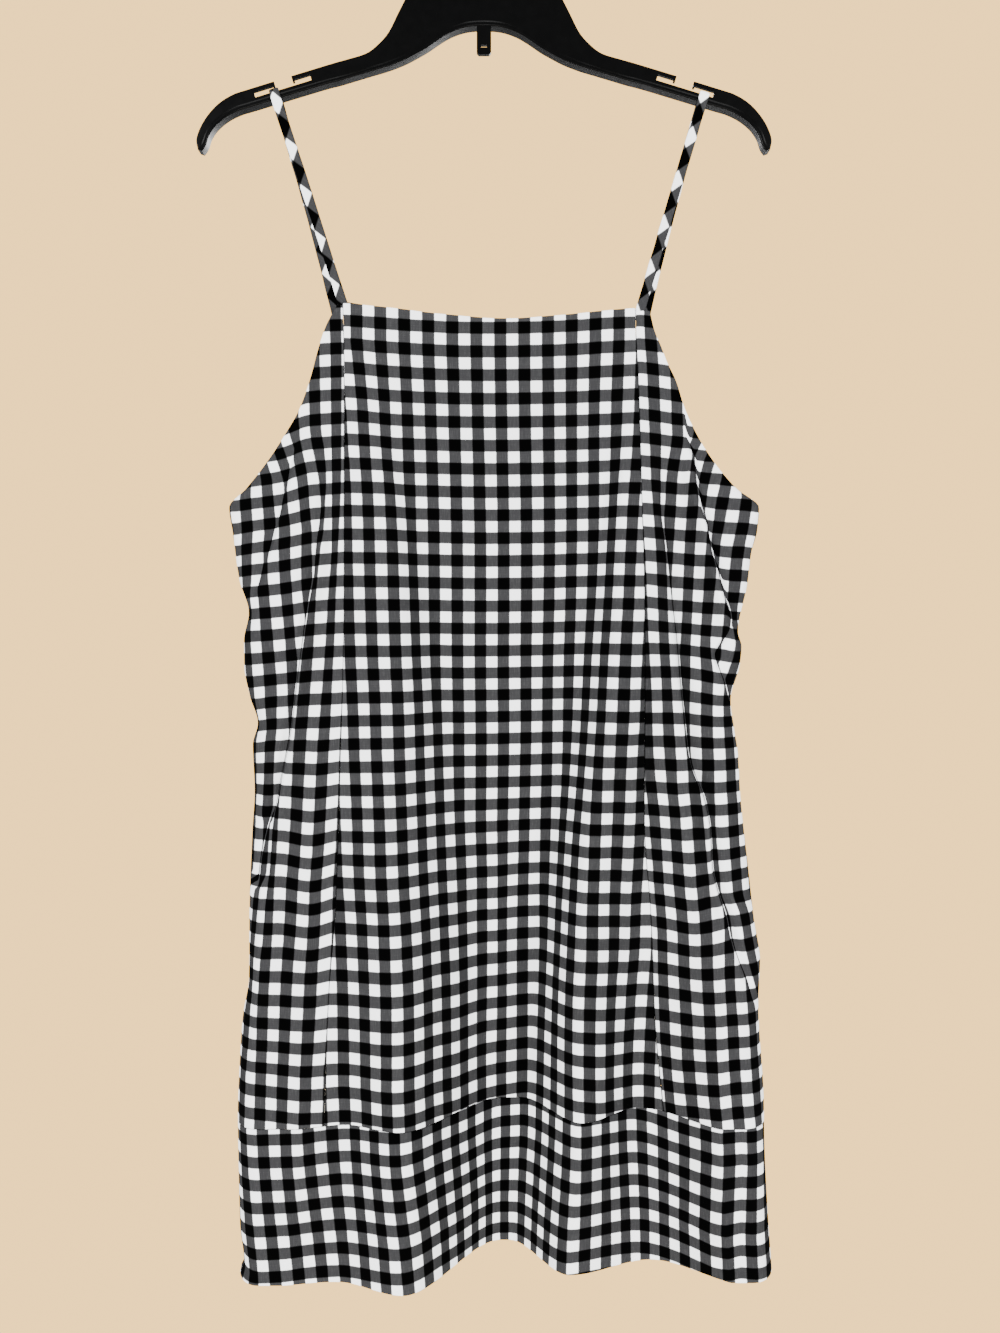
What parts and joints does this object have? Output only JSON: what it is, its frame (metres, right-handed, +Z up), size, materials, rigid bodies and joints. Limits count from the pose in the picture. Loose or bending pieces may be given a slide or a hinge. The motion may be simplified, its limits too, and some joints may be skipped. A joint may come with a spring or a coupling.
{
  "type": "mini dress on a clothes hanger",
  "caption": "Sleeveless gingham mini dress with thin straps, princess seams and a deep hem band, hung on a notched plastic hanger.",
  "frame": {"origin": "inside top of the hook's bow, where it rests on a rail", "axes": "+Z up, -Y towards the viewer of the dress's front, +X to that viewer's right"},
  "size_m": [0.4424, 0.1067, 1.0988],
  "materials": {
    "gingham": "woven cotton check in black, white and grey",
    "black_plastic": "moulded, satin",
    "hook_wire": "plated wire"
  },
  "bodies": {
    "root": {"front_centre": "gingham", "front_side_left": "gingham", "front_side_right": "gingham", "back": "gingham", "band_front": "gingham", "band_back": "gingham", "strap_left": "gingham", "strap_right": "gingham", "hanger": "black_plastic", "hook": "hook_wire"}
  },
  "joints": []
}
